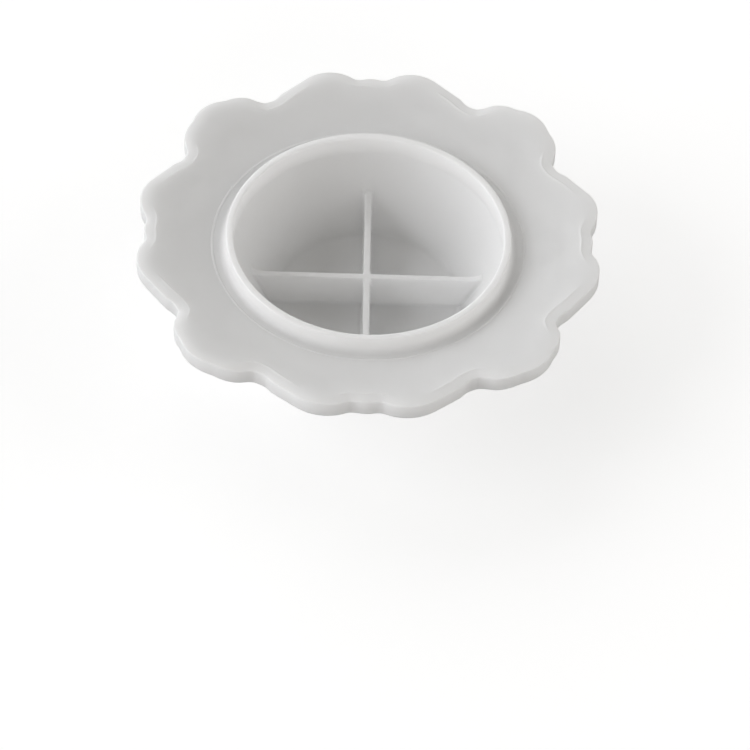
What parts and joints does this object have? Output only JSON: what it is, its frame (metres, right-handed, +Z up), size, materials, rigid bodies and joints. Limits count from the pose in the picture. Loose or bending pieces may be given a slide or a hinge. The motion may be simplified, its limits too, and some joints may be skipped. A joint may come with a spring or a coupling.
{
  "type": "resin casting mould",
  "caption": "Two-part silicone mould with a dished scalloped flange, a raised collar and a ribbed hollow core, for casting a bowl.",
  "frame": {"origin": "on the mould's axis, in the plane of the pour lip's lower face, on which it stands", "axes": "+Z up along the axis, out of the open core; +X and +Y towards the middles of two sides, with the long rib along Y"},
  "size_m": [0.2018, 0.2018, 0.0579],
  "materials": {
    "ornament_silicone": "matte translucent white silicone",
    "shell_silicone": "matte translucent white silicone"
  },
  "bodies": {
    "shell_half": {"shell_flange": "shell_silicone", "shell_wall": "shell_silicone", "pour_lip": "shell_silicone"},
    "ornament_half": {"ornament_plate": "ornament_silicone", "rim_wall": "ornament_silicone", "rim_skirt": "ornament_silicone", "collar_ring": "ornament_silicone", "collar_cove": "ornament_silicone", "core_wall": "ornament_silicone", "core_floor": "ornament_silicone", "rib_front_rear": "ornament_silicone", "rib_left": "ornament_silicone", "rib_right": "ornament_silicone"}
  },
  "joints": [
    {"name": "core_lift", "type": "slide", "parent": "shell_half", "child": "ornament_half", "axis": [0, 0, 1], "range_m": [0, 0.07]}
  ]
}
